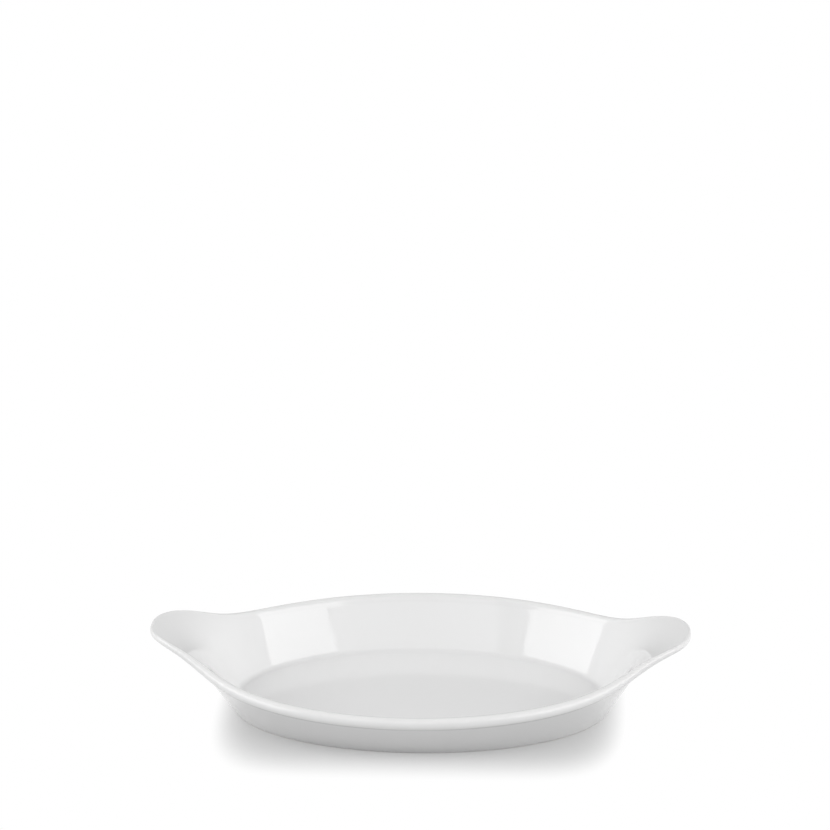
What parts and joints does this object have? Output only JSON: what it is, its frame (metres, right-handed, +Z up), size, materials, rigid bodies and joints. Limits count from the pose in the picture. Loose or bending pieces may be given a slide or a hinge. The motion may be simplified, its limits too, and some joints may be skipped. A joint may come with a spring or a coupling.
{
  "type": "gratin dish",
  "caption": "Shallow oval baking dish of white glazed porcelain. Its rolled rim sweeps up into a flat ear at each end, and it stands on a bare foot ring.",
  "frame": {"origin": "middle of the foot, on the surface that the dish stands on", "axes": "+Z up, +X along the dish through its two ears, +Y across it"},
  "size_m": [0.232, 0.125, 0.0375],
  "materials": {
    "white_glaze": "smooth clear glaze over white porcelain, bare on the foot ring"
  },
  "bodies": {
    "root": {"gratin_dish": "white_glaze"}
  },
  "joints": []
}
